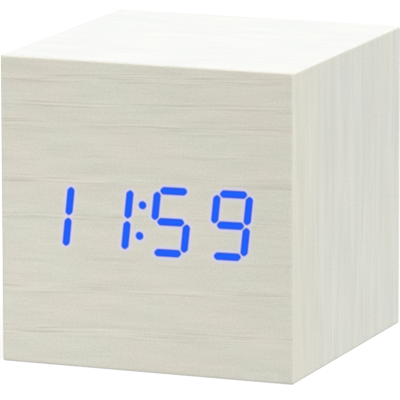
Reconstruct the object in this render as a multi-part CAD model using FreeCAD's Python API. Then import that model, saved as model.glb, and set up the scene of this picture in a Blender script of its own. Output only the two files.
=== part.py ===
import FreeCAD, Part
import math
import os

# A cube clock of film-faced board with a seven-segment time behind its front film.
# Millimetres. The origin is the middle of the base, +Z is up, the front faces -Y.

# Case. Its width and height follow from what it holds, below.
case_depth = 60.0
board_thickness = 4.0
film_thickness = 0.4
edge_radius = 0.5
overrun = 1.0
running_clearance = 0.1
slot_clearance = 0.2
level_tolerance = 0.01

# Rear cover and its seat in the boards
rebate_width = 1.0
cover_thickness = 2.0
cover_inset = 1.2
cover_corner_radius = 1.5
hook_width = 7.0
hook_reach = 1.2
hook_thickness = 1.1
hook_spacing = 34.0
block_size = 5.2
block_length = 9.0
screw_radius = 0.9
screw_head_radius = 1.8
screw_head_height = 0.9
screw_length = 6.5
recess_depth = 0.35
screw_slot_share = 0.2
screw_dome_share = 0.45

# Display
display_offset = -0.99
display_drop = 0.36
block_side_gap = 0.39
digit_half_width = 3.3
bar_spacing = 6.04
bar_length = 5.8
bar_width = 1.4
bar_corner_radius = 0.3
slant_angle = 6.1
climb_angle = 0.95
dot_radius = 0.72
dot_spacing = 6.0
digit_place_shares = (-1.5, -0.5, 0.5, 1.5)
digits_shown = ("bc", "bc", "acdfg", "abcdfg")

# Light-well block behind the film
well_depth = 7.6
well_length_share = 0.6
well_width_share = 0.8
dot_well_share = 0.85
diffuser_thickness = 1.2
nose_margin = 0.9
nose_overlap = 1.2
flange_width = 0.8
flange_thickness = 1.6
ear_height = 3.4
ear_width = 5.0
ear_radius = 1.2
ear_spacing = 36.0
display_screw_radius = 0.7
display_screw_head_radius = 1.4
display_screw_head_height = 0.8
display_screw_length = 3.6
stake_radius = 0.6
stake_head_radius = 1.0
stake_head_height = 0.5
stake_inset = 1.3
led_length = 1.6
led_width = 0.8
led_height = 0.7

# Circuit boards and what stands on them
board_sheet = 1.2
driver_width = 7.8
driver_height = 5.3
driver_thickness = 1.5
driver_offset = -10.0
driver_lead_count = 14
lead_width = 0.35
lead_reach = 0.9
lead_thickness = 0.2
header_end_gap = 0.8
header_height = 2.8
header_depth = 2.6
header_wall = 0.6
display_header_rise = 5.0
ribbon_width = 7.6
ribbon_thickness = 0.8
ribbon_run_out = 4.0
ribbon_bend_radius = 3.0
ribbon_ridge_count = 6
ribbon_groove = 0.25
main_board_gap = 5.2
main_board_inset = 5.8
main_board_width = 24.5
main_board_edge = 1.05
main_board_margin = 0.8
# A place on the main board is a run or a share of its width from its left edge, and a rise from its foot.
main_header_rise = 10.0
clock_chip_width = 6.0
clock_chip_height = 4.4
clock_chip_thickness = 1.6
clock_chip_place_share = 0.335
voice_chip_width = 5.0
voice_chip_height = 3.6
voice_chip_place_share = 0.375
voice_chip_rise = 4.3
chip_gap = 0.9
chip_lead_count = 8
crystal_radius = 1.0
crystal_length = 6.0
crystal_place_share = 0.605
crystal_rise = 3.8
capacitor_radius = 2.0
capacitor_length = 5.0
capacitor_place_share = 0.775
capacitor_rise = 5.6
capacitor_roll = 0.3
capacitor_groove_share = 0.2
crystal_fillet_share = 0.25
post_radius = 1.5
post_inset = 1.8
post_gap = 0.2
board_screw_radius = 0.6
board_screw_head_radius = 1.2
board_screw_head_height = 0.7
board_screw_length = 4.2

# Keys
key_radius = 1.8
key_flange_radius = 2.4
key_flange_thickness = 0.7
key_height = 0.7
key_dome = 0.25
key_first_run = 3.0
key_pitch = 4.9
key_names = ("set", "up", "down", "talk")
switch_side = 4.5
switch_height = 3.4
switch_bevel = 0.5
plunger_radius = 1.1
plunger_rise = 0.6
plunger_depth = 0.9
plunger_well = 1.6
key_boss_radius = 0.9

# Slide switch
slide_length = 8.4
slide_width = 3.4
slide_height = 3.4
slide_travel = 2.0
slide_cavity_length = 5.6
slide_cavity_width = 2.2
slide_cavity_depth = 1.2
slide_wall = 0.4
knob_stem_length = 1.8
knob_stem_width = 1.4
knob_shoe_length = 3.2
knob_shoe_thickness = 0.9
knob_rise = 0.5
knob_groove = 0.15
knob_groove_pitch = 0.45
slide_slot_margin = 0.4

# Micro USB socket
usb_run = 4.6
usb_rise = 4.3
usb_width = 7.6
usb_height = 2.7
usb_chamfer = 0.8
usb_wall = 0.3
usb_recess = 0.5
usb_floor = 1.6
usb_tongue_width = 3.9
usb_tongue_thickness = 0.6
usb_tongue_setback = 0.8
usb_pad_width = 0.35
usb_pad_pitch = 0.65
usb_pad_count = 5
usb_pad_thickness = 0.05

# Loudspeaker
speaker_gap = 0.8
speaker_rise = 7.8
speaker_radius = 5.0
speaker_rim_thickness = 0.6
speaker_depth = 1.6
speaker_wall = 0.4
speaker_basket_radius = 3.4
speaker_ring_wall = 0.8
speaker_ring_height = 2.4
cone_thickness = 0.15
cone_dome_radius = 1.9
cone_dome_height = 0.6
magnet_radius = 2.9
magnet_height = 1.6
magnet_bevel = 0.4
terminal_length = 3.6
terminal_width = 1.0
terminal_thickness = 0.5
terminal_spacing = 2.6
grille_hole_radius = 0.5
grille_pitch = 1.65
grille_rings = 2

# Battery tray, cells and contacts
cell_radius = 5.25
cell_length = 43.7
cell_bevel = 0.5
nub_radius = 1.9
nub_height = 0.8
cell_gap = 0.5
cell_count = 3
spring_room = 3.8
tray_wall = 1.0
tray_floor = 1.0
tray_side_gap = 0.55
tray_foot_gap = 1.0
contact_thickness = 0.3
contact_size = 7.6
tail_width = 2.0
tail_reach = 0.8
tongue_width = 3.6
tongue_tip_share = 0.4
rib_height = 2.6
rib_thickness = 1.0
rib_spacing = 14.0
cell_clearance = 0.15
door_gap = 0.25

# Battery door
door_thickness = 1.6
door_clearance = 0.2
door_corner_radius = 1.0
door_side_margin = 0.9
lug_radius = 1.05
lug_length = 4.0
hinge_pin_radius = 0.5
hinge_pin_reach = 1.0
latch_width = 8.0
latch_slit = 0.5
latch_length = 6.0
latch_nose_thickness = 0.8
thumb_width = 6.0
thumb_height = 3.0
thumb_depth = 0.5
grip_rib_count = 3
grip_rib_width = 0.3
grip_rib_length = 4.0
grip_rib_pitch = 0.9
grip_rib_height = 0.3

# Leads
lead_radius = 0.5
lead_standoff = 5.0
power_pad_place_share = 0.155
plus_pad_rise = 5.8
minus_pad_rise = 9.0
speaker_lead_radius = 0.35
speaker_lead_standoff = 4.0
speaker_pad_inset = 1.4
speaker_pad_rises = (4.6, 7.2)
bend_share = 0.45

across = FreeCAD.Vector(1, 0, 0)
rearward = FreeCAD.Vector(0, 1, 0)
upward = FreeCAD.Vector(0, 0, 1)

# The cells and their contacts give the case its width.
inner_half = (cell_length + nub_height + spring_room) / 2 + contact_thickness
tray_half = inner_half + tray_wall
cavity_half = tray_half + tray_side_gap
case_width = 2 * (cavity_half + board_thickness)

# The cells, the USB socket, a post and the key row stand over each other and give its height.
cell_pitch = 2 * cell_radius + cell_gap
tray_bottom = board_thickness + tray_foot_gap
tray_top = tray_bottom + 2 * tray_wall + (cell_count - 1) * cell_pitch + 2 * (cell_radius + cell_clearance)
main_board_bottom = tray_top + main_board_margin
usb_z = main_board_bottom + usb_rise
left_post_z = usb_z + usb_height / 2 + post_gap + post_radius
key_row_z = left_post_z + post_radius + post_gap + switch_side / 2
main_board_top = key_row_z + switch_side / 2 + main_board_edge
cavity_top = main_board_top + main_board_margin
case_height = cavity_top + board_thickness
display_height = case_height / 2 - display_drop

# Places on the main board
main_board_left = main_board_inset - cavity_half
main_board_right = main_board_left + main_board_width
header_width = ribbon_width + 2 * (header_wall + running_clearance)
header_x = main_board_right - header_end_gap - header_width / 2
main_header_z = main_board_bottom + main_header_rise
clock_chip_x = main_board_left + clock_chip_place_share * main_board_width
voice_chip_x = main_board_left + voice_chip_place_share * main_board_width
voice_chip_z = main_board_bottom + voice_chip_rise
clock_chip_z = voice_chip_z + (voice_chip_height + clock_chip_height) / 2 + 2 * lead_reach + chip_gap
crystal_x = main_board_left + crystal_place_share * main_board_width
crystal_z = main_board_bottom + crystal_rise
capacitor_x = main_board_left + capacitor_place_share * main_board_width
capacitor_z = main_board_bottom + capacitor_rise
key_first_x = main_board_left + key_first_run
usb_x = main_board_left + usb_run
slide_x = (usb_x + usb_width / 2 + main_board_right - post_inset - post_radius) / 2
slide_z = usb_z
power_pad_x = main_board_left + power_pad_place_share * main_board_width
speaker_pad_x = main_board_right - speaker_pad_inset
speaker_ring_radius = speaker_radius + running_clearance + speaker_ring_wall
speaker_x = cavity_half - block_size - speaker_gap - speaker_ring_radius
speaker_z = main_board_bottom + speaker_rise

# The figures fill the light-well block, whose flange fills the cavity from side to side.
slant_lean = bar_spacing * math.tan(math.radians(slant_angle))
figure_half_width = digit_half_width + bar_width / 2 + slant_lean
block_half_width = cavity_half - abs(display_offset) - flange_width - block_side_gap
digit_pitch = (block_half_width - nose_margin - figure_half_width) / digit_place_shares[-1]

# Planes that the pieces share
front_y = -case_depth / 2
rear_y = case_depth / 2
film_back_y = front_y + film_thickness
board_back_y = front_y + board_thickness
cover_outer_y = rear_y - cover_inset
cover_inner_y = cover_outer_y - cover_thickness
opening_half = cavity_half + rebate_width
cover_half = opening_half - running_clearance
cover_bottom = board_thickness - rebate_width + running_clearance
cover_top = cavity_top + rebate_width - running_clearance
well_back_y = film_back_y + well_depth
display_board_back_y = well_back_y + board_sheet
main_board_rear_y = cover_inner_y - main_board_gap
main_board_front_y = main_board_rear_y - board_sheet
door_outer_y = cover_outer_y - running_clearance
door_inner_y = door_outer_y - door_thickness
cell_y = door_inner_y - door_gap - cell_radius
tray_inner_y = cell_y - cell_radius - cell_clearance
tray_front_y = tray_inner_y - tray_floor


def at(x, y, z):
    return FreeCAD.Vector(x, y, z)


def box(x0, x1, y0, y1, z0, z1):
    return Part.makeBox(x1 - x0, y1 - y0, z1 - z0, at(x0, y0, z0))


def rod(radius, x, z, y0, y1):
    return Part.makeCylinder(radius, y1 - y0, at(x, y0, z), rearward)


def cross_rod(radius, x0, x1, y, z):
    return Part.makeCylinder(radius, x1 - x0, at(x0, y, z), across)


def edges_along_y(solid):
    return [edge for edge in solid.Edges if edge.BoundBox.YLength > edge.Length / 2]


def edges_level_with(solid, y):
    flat = [edge for edge in solid.Edges if edge.BoundBox.YLength < level_tolerance]
    return [edge for edge in flat if abs(edge.BoundBox.YMin - y) < level_tolerance]


def rounded_plate(x0, x1, z0, z1, y0, y1, radius):
    plate = box(x0, x1, y0, y1, z0, z1)
    return plate.makeFillet(radius, edges_along_y(plate))


def prism(points, travel):
    wire = Part.makePolygon(points + points[:1])
    return Part.Face(wire).extrude(travel)


def frustum(first, last):
    # Flat sides between two outlines whose edges run parallel, pair by pair.
    outlines = [first, last]
    for index in range(len(first)):
        after = (index + 1) % len(first)
        outlines.append([first[index], first[after], last[after], last[index]])
    faces = [Part.Face(Part.makePolygon(points + points[:1])) for points in outlines]
    solid = Part.makeSolid(Part.makeShell(faces))
    if solid.Volume < 0:
        solid.reverse()
    return solid


def export(name, *solids):
    shape = solids[0] if len(solids) == 1 else Part.makeCompound(list(solids))
    shape.exportStep(os.path.join("parts", name + ".step"))


# Case boards: each face's slab runs inward to 45 degree mitres on the edges it shares.
def front_rectangle(depth):
    half = case_width / 2 - depth
    y = front_y + depth
    top = case_height - depth
    return [at(-half, y, depth), at(half, y, depth), at(half, y, top), at(-half, y, top)]


def level_rectangle(depth, z):
    half = case_width / 2 - depth
    y = front_y + depth
    return [at(-half, y, z), at(half, y, z), at(half, rear_y, z), at(-half, rear_y, z)]


def upright_rectangle(depth, x):
    y = front_y + depth
    top = case_height - depth
    return [at(x, y, depth), at(x, rear_y, depth), at(x, rear_y, top), at(x, y, top)]


def make_case():
    envelope = box(-case_width / 2, case_width / 2, front_y, rear_y, 0, case_height)
    envelope = envelope.makeFillet(edge_radius, envelope.Edges)
    t = board_thickness
    film = frustum(front_rectangle(0), front_rectangle(film_thickness)).common(envelope)
    front = frustum(front_rectangle(film_thickness), front_rectangle(t)).common(envelope)
    top = frustum(level_rectangle(0, case_height), level_rectangle(t, cavity_top))
    bottom = frustum(level_rectangle(0, 0), level_rectangle(t, t))
    left = frustum(upright_rectangle(0, -case_width / 2), upright_rectangle(t, -cavity_half))
    right = frustum(upright_rectangle(0, case_width / 2), upright_rectangle(t, cavity_half))
    rebate = box(-opening_half, opening_half, cover_inner_y, rear_y + overrun,
                 t - rebate_width, cavity_top + rebate_width)
    boards = [slab.common(envelope).cut(rebate) for slab in (top, bottom, left, right)]
    return film, front, boards


def hook_centres():
    return (-hook_spacing / 2, hook_spacing / 2)


def hook_pockets():
    floor = board_thickness - rebate_width
    half = hook_width / 2 + slot_clearance
    y1 = cover_inner_y + hook_thickness + slot_clearance
    z0 = cover_bottom - hook_reach - slot_clearance
    z1 = floor + overrun
    return [box(x - half, x + half, cover_inner_y, y1, z0, z1) for x in hook_centres()]


# Corner blocks glued under the top board, drilled for the cover screws.
def screw_places():
    x = cavity_half - block_size / 2
    z = cavity_top - block_size / 2
    return ((-x, z), (x, z))


def make_screw_blocks():
    blocks = []
    for x, z in screw_places():
        half = block_size / 2
        front = cover_inner_y - block_length
        block = box(x - half, x + half, front, cover_inner_y, z - half, z + half)
        depth = screw_length - cover_thickness + screw_head_height + slot_clearance
        radius = screw_radius + running_clearance / 2
        blocks.append(block.cut(rod(radius, x, z, cover_inner_y - depth, cover_inner_y + overrun)))
    return blocks


def pan_head_screw(x, z, seat_y, direction, shank_radius, head_radius, head_height, length):
    # A domed head that stands off the seat, and a shank that runs from the seat towards direction.
    seat = at(x, seat_y, z)
    axis = rearward * direction
    shank = Part.makeCylinder(shank_radius, length, seat, axis)
    head = Part.makeCylinder(head_radius, head_height, seat, axis * -1)
    top = seat_y - direction * head_height
    head = head.makeFillet(head_height * screw_dome_share, edges_level_with(head, top))
    slot = box(x - head_radius, x + head_radius, -recess_depth, recess_depth,
               z - head_height * screw_slot_share, z + head_height * screw_slot_share)
    slot.translate(at(0, top, 0))
    return head.fuse(shank).cut(slot).removeSplitter()


# Seven-segment figures. A bar is an elongated hexagon, sheared by the slant of the figures.
def slanted(x, z, y):
    # The figures lean to the right, and their row climbs a little from left to right.
    lean = (z - display_height) * math.tan(math.radians(slant_angle))
    climb = (x - display_offset) * math.tan(math.radians(climb_angle))
    return at(x + lean, y, z + climb)


def bar_outline(x, z, is_upright, length, width, y):
    half, side = length / 2, width / 2
    points = [(-half, 0), (side - half, side), (half - side, side), (half, 0)]
    points += [(-u, -v) for u, v in points[1:3]]
    if is_upright:
        points = [(v, u) for u, v in points]
    return [slanted(x + u, z + v, y) for u, v in points]


def bar_centres():
    rise = bar_spacing / 2
    w = digit_half_width
    return {"a": (0, bar_spacing, False), "g": (0, 0, False), "d": (0, -bar_spacing, False),
            "b": (w, rise, True), "f": (-w, rise, True), "c": (w, -rise, True), "e": (-w, -rise, True)}


def digit_x(place):
    return display_offset + place * digit_pitch


def all_bars():
    bars = []
    for place, shown in zip(digit_place_shares, digits_shown):
        for letter, (dx, dz, is_upright) in bar_centres().items():
            bars.append((digit_x(place) + dx, display_height + dz, is_upright, letter in shown))
    return bars


def dot_centres():
    return [slanted(display_offset, display_height + side * dot_spacing / 2, 0) for side in (-1, 1)]


def lit_bar(x, z, is_upright):
    outline = bar_outline(x, z, is_upright, bar_length, bar_width, front_y)
    bar = prism(outline, at(0, film_thickness, 0))
    return bar.makeFillet(bar_corner_radius, edges_along_y(bar))


def make_lit_segments():
    lit = [lit_bar(x, z, is_upright) for x, z, is_upright, is_lit in all_bars() if is_lit]
    dots = [rod(dot_radius, centre.x, centre.z, front_y, film_back_y) for centre in dot_centres()]
    return lit + dots


def light_wells():
    wells = []
    for x, z, is_upright, is_lit in all_bars():
        front = bar_outline(x, z, is_upright, bar_length, bar_width, film_back_y)
        length = bar_length * well_length_share
        back = bar_outline(x, z, is_upright, length, bar_width * well_width_share, well_back_y)
        wells.append(frustum(front, back))
    for centre in dot_centres():
        front = at(centre.x, film_back_y, centre.z)
        wells.append(Part.makeCone(dot_radius, dot_radius * dot_well_share, well_depth, front, rearward))
    return wells


def nose_half():
    return block_half_width, bar_spacing + bar_width / 2 + nose_overlap


def ear_centres():
    _, half_height = nose_half()
    z = half_height + flange_width + ear_height / 2
    x = ear_spacing / 2
    return [(display_offset + sx * x, display_height + sz * z) for sx in (-1, 1) for sz in (-1, 1)]


def stake_centres():
    half_width, half_height = nose_half()
    x = half_width - stake_inset
    z = half_height - stake_inset
    return [(display_offset + sx * x, display_height + sz * z) for sx in (-1, 1) for sz in (-1, 1)]


def window_cut():
    half_width, half_height = nose_half()
    w = half_width + running_clearance
    h = half_height + running_clearance
    return box(display_offset - w, display_offset + w, film_back_y - overrun, board_back_y + overrun,
               display_height - h, display_height + h)


def make_segment_block(wells):
    w, h = nose_half()
    x = display_offset
    z = display_height
    block = box(x - w, x + w, film_back_y, well_back_y, z - h, z + h)
    flange_back = board_back_y + flange_thickness
    fw = w + flange_width
    fh = h + flange_width
    flange = box(x - fw, x + fw, board_back_y, flange_back, z - fh, z + fh)
    ears = []
    for ex, ez in ear_centres():
        side = 1 if ez > z else -1
        z0, z1 = sorted((ez - side * (ear_height / 2 + overrun), ez + side * ear_height / 2))
        half = ear_width / 2
        ears.append(rounded_plate(ex - half, ex + half, z0, z1, board_back_y, flange_back, ear_radius))
    stakes = []
    for sx, sz in stake_centres():
        head_y = display_board_back_y + stake_head_height
        stakes.append(rod(stake_radius, sx, sz, well_back_y, head_y))
        stakes.append(rod(stake_head_radius, sx, sz, display_board_back_y, head_y))
    block = block.multiFuse([flange] + ears + stakes).removeSplitter()
    y0, y1 = board_back_y - overrun, flange_back + overrun
    holes = [rod(display_screw_radius + running_clearance, ex, ez, y0, y1) for ex, ez in ear_centres()]
    return block.cut(Part.makeCompound(wells)).cut(Part.makeCompound(holes))


def make_diffusers(wells):
    w, h = nose_half()
    mouth = box(display_offset - w, display_offset + w, film_back_y, film_back_y + diffuser_thickness,
                display_height - h, display_height + h)
    return [well.common(mouth) for well in wells]


def make_leds():
    chips = []
    for x, z, is_upright, is_lit in all_bars():
        centre = slanted(x, z, well_back_y)
        half_x, half_z = (led_width / 2, led_length / 2) if is_upright else (led_length / 2, led_width / 2)
        chips.append(box(centre.x - half_x, centre.x + half_x, well_back_y - led_height, well_back_y,
                         centre.z - half_z, centre.z + half_z))
    for centre in dot_centres():
        half = led_width / 2
        chips.append(box(centre.x - half, centre.x + half, well_back_y - led_height, well_back_y,
                         centre.z - half, centre.z + half))
    return chips


def make_display_board():
    w, h = nose_half()
    x = display_offset
    z = display_height
    sheet = box(x - w, x + w, well_back_y, display_board_back_y, z - h, z + h)
    y0, y1 = well_back_y - overrun, display_board_back_y + overrun
    holes = [rod(stake_radius + running_clearance / 2, sx, sz, y0, y1) for sx, sz in stake_centres()]
    return sheet.cut(Part.makeCompound(holes))


def make_display_screws():
    seat = board_back_y + flange_thickness
    return [pan_head_screw(x, z, seat, -1, display_screw_radius, display_screw_head_radius,
                           display_screw_head_height, display_screw_length) for x, z in ear_centres()]


# Chips with gull-wing leads along their upper and lower edges.
def make_chip(x, z, board_y, side, width, height, thickness, lead_count):
    # side is +1 where the chip stands on the rear of its board, -1 on the front.
    y0, y1 = sorted((board_y + side * lead_thickness, board_y + side * thickness))
    body = box(x - width / 2, x + width / 2, y0, y1, z - height / 2, z + height / 2)
    outer = y1 if side > 0 else y0
    body = body.makeChamfer(lead_thickness, edges_level_with(body, outer))
    per_side = lead_count // 2
    pitch = width / per_side
    leads = []
    for index in range(per_side):
        lx = x + (index - (per_side - 1) / 2) * pitch
        f0, f1 = sorted((board_y, board_y + side * lead_thickness))
        foot = box(lx - lead_width / 2, lx + lead_width / 2, f0, f1,
                   z - height / 2 - lead_reach, z + height / 2 + lead_reach)
        leads.append(foot)
    return body.multiFuse(leads)


def header_shroud(x, z, board_y, side):
    half_x = header_width / 2
    half_z = header_height / 2
    y0, y1 = sorted((board_y, board_y + side * header_depth))
    shell = box(x - half_x, x + half_x, y0, y1, z - half_z, z + half_z)
    i0, i1 = sorted((board_y + side * header_wall, board_y + side * (header_depth + overrun)))
    hollow = box(x - half_x + header_wall, x + half_x - header_wall, i0, i1,
                 z - half_z + header_wall, z + half_z - header_wall)
    return shell.cut(hollow)


def tangent_path(points, radii):
    # Straight runs joined by arcs that touch both runs.
    edges = []
    start = points[0]
    for index, radius in enumerate(radii):
        before, corner, after = points[index], points[index + 1], points[index + 2]
        back = (before - corner).normalize()
        ahead = (after - corner).normalize()
        half = back.getAngle(ahead) / 2
        setback = radius / math.tan(half)
        touch_in = corner + back * setback
        touch_out = corner + ahead * setback
        bisector = (back + ahead).normalize()
        middle = corner + bisector * (radius / math.sin(half) - radius)
        edges.append(Part.LineSegment(start, touch_in).toShape())
        edges.append(Part.Arc(touch_in, middle, touch_out).toShape())
        start = touch_out
    edges.append(Part.LineSegment(start, points[-1]).toShape())
    return Part.Wire(edges)


def tube(points, radii, radius, name):
    path = tangent_path(points, radii)
    start = points[0]
    direction = (points[1] - points[0]).normalize()
    ring = Part.Wire([Part.Circle(start, direction, radius).toShape()])
    solid = path.makePipeShell([ring], True, False)
    share = solid.Volume / (math.pi * radius ** 2 * path.Length)
    print(name, "bend radii", [round(r, 2) for r in radii], "volume share", round(share, 4))
    return solid


def ribbon_route():
    y0 = display_board_back_y + header_wall
    y1 = main_board_front_y - header_wall
    z0 = display_header_z()
    foot = y0 + ribbon_run_out
    head = foot + main_header_z - z0
    return [at(0, y0, z0), at(0, foot, z0), at(0, head, main_header_z), at(0, y1, main_header_z)]


def display_header_z():
    return display_height + display_header_rise


def make_ribbon():
    route = ribbon_route()
    path = tangent_path(route, [ribbon_bend_radius, ribbon_bend_radius])
    x0 = header_x - ribbon_width / 2
    start = route[0]
    half = ribbon_thickness / 2
    pitch = ribbon_width / ribbon_ridge_count
    section = []
    for index in range(ribbon_ridge_count):
        section.append(at(x0 + index * pitch, start.y, start.z + half - ribbon_groove))
        section.append(at(x0 + (index + 0.5) * pitch, start.y, start.z + half))
    section.append(at(x0 + ribbon_width, start.y, start.z + half - ribbon_groove))
    lower = [at(p.x, p.y, 2 * start.z - p.z) for p in reversed(section)]
    ring = Part.makePolygon(section + lower + section[:1])
    return path.makePipeShell([ring], True, False)


# Main board, which stands on posts behind the rear cover.
def post_places():
    right = (main_board_right - post_inset, main_board_bottom + post_inset)
    return ((main_board_left + post_inset, left_post_z), right)


def make_main_board():
    sheet = box(main_board_left, main_board_right, main_board_front_y, main_board_rear_y,
                main_board_bottom, main_board_top)
    holes = [rod(board_screw_radius + running_clearance, x, z, main_board_front_y - overrun,
                 main_board_rear_y + overrun) for x, z in post_places()]
    return sheet.cut(Part.makeCompound(holes))


def make_board_screws():
    return [pan_head_screw(x, z, main_board_front_y, 1, board_screw_radius, board_screw_head_radius,
                           board_screw_head_height, board_screw_length) for x, z in post_places()]


def make_crystal():
    z0 = crystal_z - crystal_length / 2
    y = main_board_front_y - crystal_radius
    can = Part.makeCylinder(crystal_radius, crystal_length, at(crystal_x, y, z0), upward)
    rims = [e for e in can.Edges if e.BoundBox.ZLength < crystal_radius]
    return can.makeFillet(crystal_radius * crystal_fillet_share, rims)


def make_capacitor():
    y1 = main_board_front_y
    foot = at(capacitor_x, y1, capacitor_z)
    can = Part.makeCylinder(capacitor_radius, capacitor_length, foot, rearward * -1)
    rims = [e for e in can.Edges if e.BoundBox.YLength < capacitor_radius / 2]
    can = can.makeFillet(capacitor_roll, rims)
    x = capacitor_x + capacitor_radius + capacitor_roll / 2
    y = y1 - capacitor_length * capacitor_groove_share
    profile = Part.makeCircle(capacitor_roll, at(x, y, capacitor_z), upward)
    groove = Part.Face(Part.Wire([profile])).revolve(foot, rearward, 360)
    return can.cut(groove)


# Keys on tactile switches
def key_x(index):
    return key_first_x + index * key_pitch


def switch_top_y():
    return main_board_rear_y + switch_height


def make_tact_switches():
    switches = []
    for index in range(len(key_names)):
        x = key_x(index)
        half = switch_side / 2
        body = box(x - half, x + half, main_board_rear_y, switch_top_y(), key_row_z - half, key_row_z + half)
        body = body.makeChamfer(switch_bevel, edges_along_y(body))
        well = rod(plunger_radius + running_clearance, x, key_row_z, switch_top_y() - plunger_well,
                   switch_top_y() + overrun)
        switches.append(body.cut(well))
    return switches


def make_plunger(index):
    return rod(plunger_radius, key_x(index), key_row_z, switch_top_y() - plunger_depth,
               switch_top_y() + plunger_rise)


def make_key(index):
    x = key_x(index)
    plunger_top = switch_top_y() + plunger_rise
    flange_rear = cover_inner_y - running_clearance
    flange_front = flange_rear - key_flange_thickness
    crown = cover_outer_y + key_height
    boss = rod(key_boss_radius, x, key_row_z, plunger_top, flange_front)
    flange = rod(key_flange_radius, x, key_row_z, flange_front, flange_rear)
    start = at(0, flange_rear, 0)
    edge = at(key_radius, flange_rear, 0)
    shoulder = at(key_radius, crown - key_dome, 0)
    tip = at(0, crown, 0)
    chord = key_radius ** 2 + key_dome ** 2
    dome_radius = chord / (2 * key_dome)
    lean = math.asin(key_radius / dome_radius) / 2
    middle = at(dome_radius * math.sin(lean), crown - dome_radius * (1 - math.cos(lean)), 0)
    outline = Part.Wire([Part.makeLine(start, edge), Part.makeLine(edge, shoulder),
                         Part.Arc(shoulder, middle, tip).toShape(), Part.makeLine(tip, start)])
    cap = Part.Face(outline).revolve(at(0, 0, 0), rearward, 360)
    cap.translate(at(x, 0, key_row_z))
    return cap.multiFuse([flange, boss]).removeSplitter()


# Slide switch
def make_slide_body():
    x, z = slide_x, slide_z
    top = main_board_rear_y + slide_height
    body = box(x - slide_length / 2, x + slide_length / 2, main_board_rear_y, top,
               z - slide_width / 2, z + slide_width / 2)
    cavity_y = top - slide_wall - slide_cavity_depth
    cavity = box(x - slide_cavity_length / 2, x + slide_cavity_length / 2, cavity_y, top - slide_wall,
                 z - slide_cavity_width / 2, z + slide_cavity_width / 2)
    half = (knob_stem_length + slide_travel) / 2 + slot_clearance
    half_z = knob_stem_width / 2 + running_clearance
    mouth = box(x - half, x + half, cavity_y, top + overrun, z - half_z, z + half_z)
    return body.cut(cavity).cut(mouth)


def make_switch_knob():
    x = slide_x - slide_travel / 2
    z = slide_z
    shoe_rear = main_board_rear_y + slide_height - slide_wall - running_clearance
    half_z = slide_cavity_width / 2 - running_clearance
    shoe = box(x - knob_shoe_length / 2, x + knob_shoe_length / 2, shoe_rear - knob_shoe_thickness, shoe_rear,
               z - half_z, z + half_z)
    crown = cover_outer_y + knob_rise
    stem = box(x - knob_stem_length / 2, x + knob_stem_length / 2, shoe_rear, crown,
               z - knob_stem_width / 2, z + knob_stem_width / 2)
    grooves = []
    for index in (-1, 0, 1):
        gx = x + index * knob_groove_pitch
        grooves.append(box(gx - knob_groove / 2, gx + knob_groove / 2, crown - knob_groove, crown + overrun,
                           z - knob_stem_width, z + knob_stem_width))
    return shoe.fuse(stem).removeSplitter().cut(Part.makeCompound(grooves))


def slide_slot():
    half = (knob_stem_length + slide_travel) / 2 + slide_slot_margin
    half_z = knob_stem_width / 2 + slide_slot_margin / 2
    return rounded_plate(slide_x - half, slide_x + half, slide_z - half_z, slide_z + half_z,
                         cover_inner_y - overrun, cover_outer_y + overrun, half_z / 2)


# Micro USB socket: a folded shell whose lower corners are cut off, with a contact tongue.
def usb_outline(grow, y):
    w = usb_width / 2 + grow
    h = usb_height / 2 + grow
    c = usb_chamfer
    points = [(-w, h), (w, h), (w, c - h), (w - c, -h), (c - w, -h), (-w, c - h)]
    return [at(usb_x + u, y, usb_z + v) for u, v in points]


def usb_face_y():
    return cover_outer_y - usb_recess


def make_usb_shell():
    length = usb_face_y() - main_board_rear_y
    shell = prism(usb_outline(0, main_board_rear_y), at(0, length, 0))
    hollow = prism(usb_outline(-usb_wall, main_board_rear_y + usb_floor), at(0, length, 0))
    return shell.cut(hollow)


def make_usb_tongue():
    floor = main_board_rear_y + usb_floor
    tip = usb_face_y() - usb_tongue_setback
    top = usb_z + usb_height / 2 - usb_wall - usb_tongue_thickness
    w = usb_tongue_width / 2
    tongue = box(usb_x - w, usb_x + w, floor, tip, top - usb_tongue_thickness, top)
    pads = []
    for index in range(usb_pad_count):
        x = usb_x + (index - (usb_pad_count - 1) / 2) * usb_pad_pitch
        under = top - usb_tongue_thickness
        pads.append(box(x - usb_pad_width / 2, x + usb_pad_width / 2, floor, tip - usb_pad_width,
                        under - usb_pad_thickness, under))
    return tongue.multiFuse(pads)


# Loudspeaker, seated in a moulded ring against the cover
def speaker_profile(points):
    wire = Part.makePolygon([at(r, y, 0) for r, y in points + points[:1]])
    solid = Part.Face(wire).revolve(at(0, 0, 0), rearward, 360)
    solid.translate(at(speaker_x, 0, speaker_z))
    return solid


def make_speaker():
    rear = cover_inner_y
    rim = rear - speaker_rim_thickness
    back = rear - speaker_depth
    r, b, t = speaker_radius, speaker_basket_radius, speaker_wall
    seat = rim + t / 2
    lip = r - 2 * t
    outer = [(r, rear), (r, rim), (b + t, rim), (b, back), (0, back)]
    frame = speaker_profile(outer + [(0, back + t), (b - t, back + t), (b, seat), (lip, seat), (lip, rear)])
    d, lift = cone_dome_radius, cone_dome_height / 2
    c = cone_thickness
    under = [(lip, seat), (b, seat), (d, seat - lift), (0, seat + lift)]
    over = [(0, seat + lift + c), (d, seat - lift + 2 * c), (b, seat + c), (lip, seat + c)]
    cone = speaker_profile(under + over)
    magnet = rod(magnet_radius, speaker_x, speaker_z, back - magnet_height, back)
    magnet = magnet.makeChamfer(magnet_bevel, edges_level_with(magnet, back - magnet_height))
    z = terminal_z()
    half_x, half_z = terminal_length / 2, terminal_width / 2
    strip = box(speaker_x - half_x, speaker_x + half_x, rim - terminal_thickness, rim, z - half_z, z + half_z)
    return frame.fuse(strip), cone, magnet


def terminal_z():
    return speaker_z - (speaker_radius + speaker_basket_radius) / 2


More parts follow.
